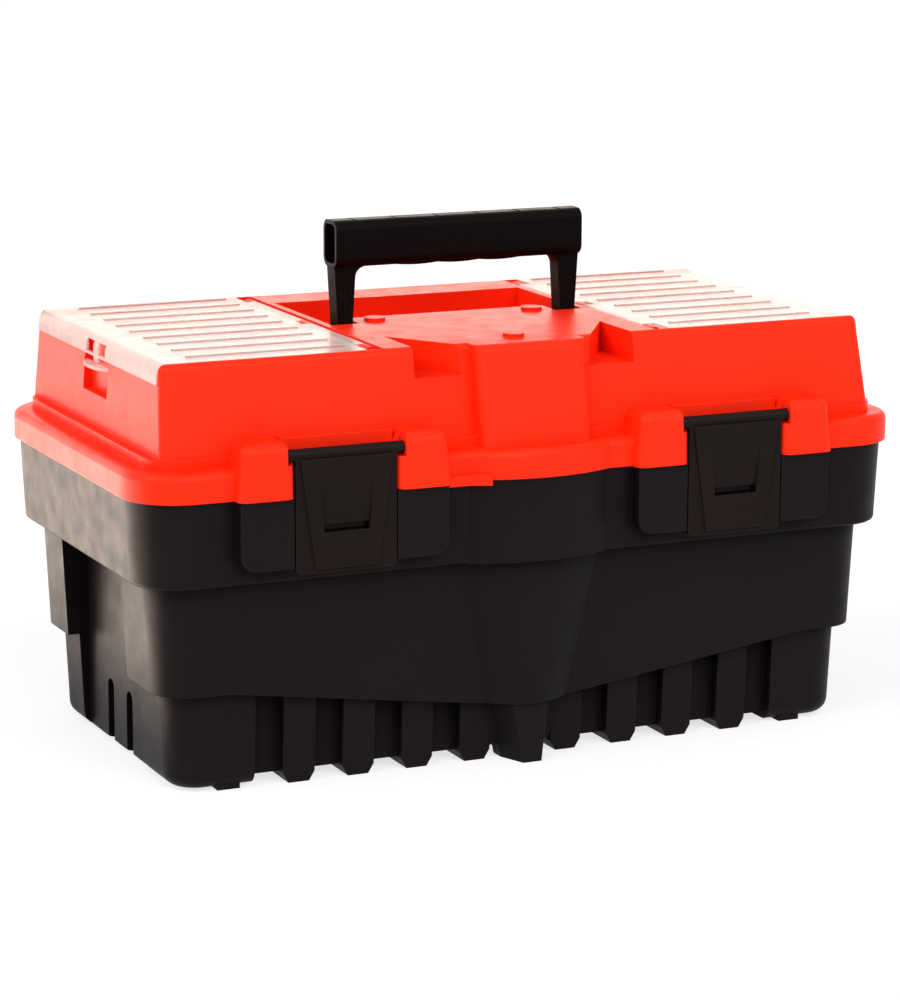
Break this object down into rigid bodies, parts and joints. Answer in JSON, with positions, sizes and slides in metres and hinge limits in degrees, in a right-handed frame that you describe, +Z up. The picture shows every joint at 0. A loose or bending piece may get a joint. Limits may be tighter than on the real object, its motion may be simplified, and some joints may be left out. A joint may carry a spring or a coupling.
{
  "type": "tool box",
  "caption": "Moulded plastic tool box: stepped fluted tub, hinged lid with clear-covered organiser bins, folding carry handle, front latches and a lift-out tray.",
  "frame": {"origin": "middle of the underside, on the floor", "axes": "+X along the length to the right, +Y to the back (hinge side), +Z up; the latches face -Y"},
  "size_m": [0.5, 0.2848, 0.3184],
  "materials": {
    "tub_black": "satin",
    "lid_red": "satin",
    "handle_black": "satin",
    "latch_black": "satin",
    "cover_clear": "gloss",
    "divider_clear": "gloss",
    "tray_black": "satin",
    "pin_steel": "satin"
  },
  "bodies": {
    "tub": {"tub": "tub_black", "hinge_pin_left": "pin_steel", "hinge_pin_right": "pin_steel"},
    "lid": {"lid_shell": "lid_red", "latch_pin_left": "pin_steel", "latch_pin_right": "pin_steel", "cover_pin_left": "pin_steel", "cover_pin_right": "pin_steel", "handle_pin_left": "pin_steel", "handle_pin_right": "pin_steel", "divider_left_front": "divider_clear", "divider_left_back": "divider_clear", "divider_right_front": "divider_clear", "divider_right_back": "divider_clear"},
    "latch_left": {"latch_left": "latch_black"},
    "latch_right": {"latch_right": "latch_black"},
    "cover_left": {"cover_left": "cover_clear"},
    "cover_right": {"cover_right": "cover_clear"},
    "handle": {"handle": "handle_black"},
    "tray": {"tray": "tray_black"}
  },
  "joints": [
    {"name": "lid_hinge", "type": "hinge", "parent": "tub", "child": "lid", "pos_m": [0, 0.1378, 0.1803], "axis": [-1, 0, 0], "range_deg": [0, 100]},
    {"name": "latch_left_hinge", "type": "hinge", "parent": "lid", "child": "latch_left", "pos_m": [-0.127, -0.1331, 0.2028], "axis": [-1, 0, 0], "range_deg": [0, 105]},
    {"name": "latch_right_hinge", "type": "hinge", "parent": "lid", "child": "latch_right", "pos_m": [0.127, -0.1331, 0.2028], "axis": [-1, 0, 0], "range_deg": [0, 105]},
    {"name": "cover_left_hinge", "type": "hinge", "parent": "lid", "child": "cover_left", "pos_m": [-0.0934, 0.0055, 0.2513], "axis": [0, 1, 0], "range_deg": [0, 92]},
    {"name": "cover_right_hinge", "type": "hinge", "parent": "lid", "child": "cover_right", "pos_m": [0.0934, 0.0055, 0.2513], "axis": [0, -1, 0], "range_deg": [0, 92]},
    {"name": "handle_fold", "type": "hinge", "parent": "lid", "child": "handle", "pos_m": [0, -0.005, 0.2413], "axis": [-1, 0, 0], "range_deg": [0, 90]},
    {"name": "tray_lift", "type": "slide", "parent": "tub", "child": "tray", "axis": [0, 0, 1], "range_m": [0, 0.02]}
  ]
}
